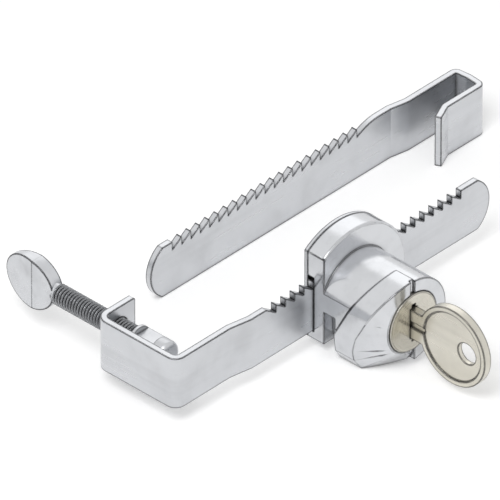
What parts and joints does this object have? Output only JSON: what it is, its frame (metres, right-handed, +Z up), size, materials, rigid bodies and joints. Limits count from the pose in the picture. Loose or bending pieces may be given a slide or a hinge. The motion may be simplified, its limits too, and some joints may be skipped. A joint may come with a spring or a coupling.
{
  "type": "showcase lock",
  "caption": "Ratchet showcase lock: toothed bar with a screw clamp for a glass door edge, sliding key lock body, and a spare bar with a hook.",
  "frame": {"origin": "glass seat: the point of the clamp bar's inner face that the pad presses towards, on the screw's axis", "axes": "+X along the ratchet bar from clamp to free end, +Z up, the key faces -Y"},
  "size_m": [0.1226, 0.0968, 0.0271],
  "materials": {
    "bar_steel": "nickel plated, lightly brushed",
    "screw_steel": "zinc plated",
    "pad_steel": "turned, zinc plated",
    "housing_plate": "chrome plated die casting",
    "cover_steel": "brushed",
    "plug_plate": "nickel plated brass",
    "key_nickel": "nickel silver",
    "wafer_brass": "stamped",
    "spring_steel": "drawn wire"
  },
  "bodies": {
    "clamp": {"clamp_bar": "bar_steel"},
    "pad": {"clamp_pad": "pad_steel"},
    "screw": {"thumbscrew": "screw_steel"},
    "lock_body": {"lock_housing": "housing_plate", "back_plate": "cover_steel", "cover_screws": "screw_steel", "pawl_spring_1": "spring_steel", "pawl_spring_2": "spring_steel"},
    "plug": {"lock_plug": "plug_plate", "plug_clip": "spring_steel", "wafer_1": "wafer_brass", "wafer_2": "wafer_brass", "wafer_3": "wafer_brass", "wafer_4": "wafer_brass", "wafer_5": "wafer_brass", "wafer_spring_1": "spring_steel", "wafer_spring_2": "spring_steel", "wafer_spring_3": "spring_steel", "wafer_spring_4": "spring_steel", "wafer_spring_5": "spring_steel"},
    "pawl": {"pawl": "cover_steel"},
    "key": {"key": "key_nickel"},
    "spare_bar": {"hook_bar": "bar_steel"}
  },
  "joints": [
    {"name": "lock_slide", "type": "slide", "parent": "clamp", "child": "lock_body", "axis": [1, 0, 0], "range_m": [-0.01129, 0.05644]},
    {"name": "plug_turn", "type": "hinge", "parent": "lock_body", "child": "plug", "pos_m": [0.0441, -0.0156, -0.0002], "axis": [0, 1, 0], "range_deg": [0, 90]},
    {"name": "pawl_lift", "type": "slide", "parent": "lock_body", "child": "pawl", "axis": [0, 0, 1], "range_m": [0, 0.00235], "deforming": ["pawl_spring_1", "pawl_spring_2"]},
    {"name": "key_pull", "type": "slide", "parent": "plug", "child": "key", "axis": [0, -1, 0], "range_m": [0, 0.016]},
    {"name": "pad_advance", "type": "slide", "parent": "clamp", "child": "pad", "axis": [0, -1, 0], "range_m": [-0.00476, 0.00476]},
    {"name": "screw_turn", "type": "hinge", "parent": "pad", "child": "screw", "pos_m": [0, 0.01845, 0], "axis": [0, -1, 0], "range_deg": [-2160, 2160]},
    {"name": "spare_bar_slide", "type": "slide", "parent": "clamp", "child": "spare_bar", "axis": [0, 1, 0], "range_m": [0, 0.03]}
  ],
  "couplings": [
    {"joint": "plug_turn", "follows": "pawl_lift", "rad_per_m": 668.42},
    {"joint": "screw_turn", "follows": "pad_advance", "rad_per_m": 7915.8}
  ]
}
